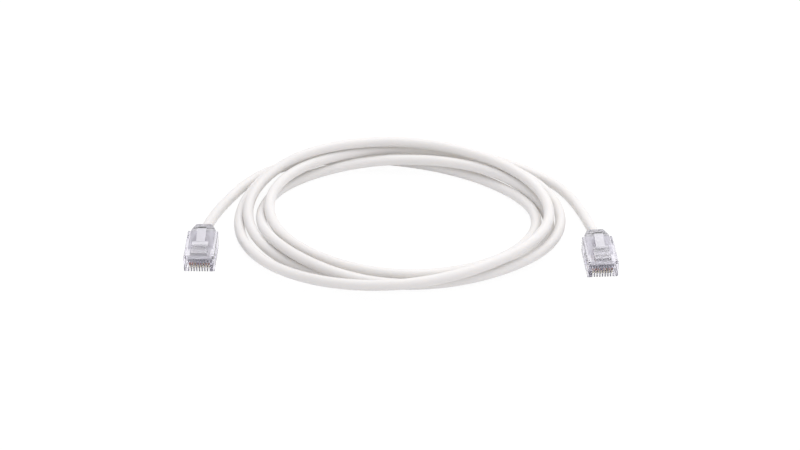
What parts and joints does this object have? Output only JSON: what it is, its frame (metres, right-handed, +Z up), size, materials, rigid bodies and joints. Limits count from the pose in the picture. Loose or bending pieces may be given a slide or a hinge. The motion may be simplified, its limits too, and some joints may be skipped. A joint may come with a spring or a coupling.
{
  "type": "ethernet patch cable",
  "caption": "Slim round network patch cord lying in a loose oval coil, with a clear modular plug on each end and a sprung latch on each plug.",
  "frame": {"origin": "on the table, at the middle of the rectangle round the two plugs", "axes": "+Z up; +X from the left plug to the right plug; the plugs' mating faces look towards -Y; the coil lies between and behind them"},
  "size_m": [0.1644, 0.1036, 0.0141],
  "materials": {
    "clear_plug_plastic": "clear, polished",
    "translucent_collar": "translucent, smooth",
    "gold_plated_contact": "gold plated, bright",
    "cord_jacket": "satin, warm off-white",
    "white_orange_wire": "smooth insulation",
    "orange_wire": "smooth insulation",
    "white_green_wire": "smooth insulation",
    "blue_wire": "smooth insulation",
    "white_blue_wire": "smooth insulation",
    "green_wire": "smooth insulation",
    "white_brown_wire": "smooth insulation",
    "brown_wire": "smooth insulation"
  },
  "bodies": {
    "cable": {"left_plug_housing": "clear_plug_plastic", "left_cord_collar": "translucent_collar", "left_load_bar": "clear_plug_plastic", "left_strain_relief_bar": "clear_plug_plastic", "left_contact_1": "gold_plated_contact", "left_contact_2": "gold_plated_contact", "left_contact_3": "gold_plated_contact", "left_contact_4": "gold_plated_contact", "left_contact_5": "gold_plated_contact", "left_contact_6": "gold_plated_contact", "left_contact_7": "gold_plated_contact", "left_contact_8": "gold_plated_contact", "left_wire_1": "white_orange_wire", "left_wire_2": "orange_wire", "left_wire_3": "white_green_wire", "left_wire_4": "blue_wire", "left_wire_5": "white_blue_wire", "left_wire_6": "green_wire", "left_wire_7": "white_brown_wire", "left_wire_8": "brown_wire", "left_cord_lead": "cord_jacket", "right_plug_housing": "clear_plug_plastic", "right_cord_collar": "translucent_collar", "right_load_bar": "clear_plug_plastic", "right_strain_relief_bar": "clear_plug_plastic", "right_contact_1": "gold_plated_contact", "right_contact_2": "gold_plated_contact", "right_contact_3": "gold_plated_contact", "right_contact_4": "gold_plated_contact", "right_contact_5": "gold_plated_contact", "right_contact_6": "gold_plated_contact", "right_contact_7": "gold_plated_contact", "right_contact_8": "gold_plated_contact", "right_wire_1": "white_orange_wire", "right_wire_2": "orange_wire", "right_wire_3": "white_green_wire", "right_wire_4": "blue_wire", "right_wire_5": "white_blue_wire", "right_wire_6": "green_wire", "right_wire_7": "white_brown_wire", "right_wire_8": "brown_wire", "right_cord_lead": "cord_jacket", "cord_coil": "cord_jacket"},
    "left_latch": {"left_latch": "clear_plug_plastic"},
    "right_latch": {"right_latch": "clear_plug_plastic"}
  },
  "joints": [
    {"name": "left_latch_press", "type": "hinge", "parent": "cable", "child": "left_latch", "pos_m": [-0.07631, -0.00786, 0.00705], "axis": [-0.9997, 0.0244, 0], "range_deg": [0, 7.5], "stiffness_Nm_per_rad": 0.2},
    {"name": "right_latch_press", "type": "hinge", "parent": "cable", "child": "right_latch", "pos_m": [0.07625, -0.01136, 0.00705], "axis": [-0.9979, -0.0645, 0], "range_deg": [0, 7.5], "stiffness_Nm_per_rad": 0.2}
  ]
}
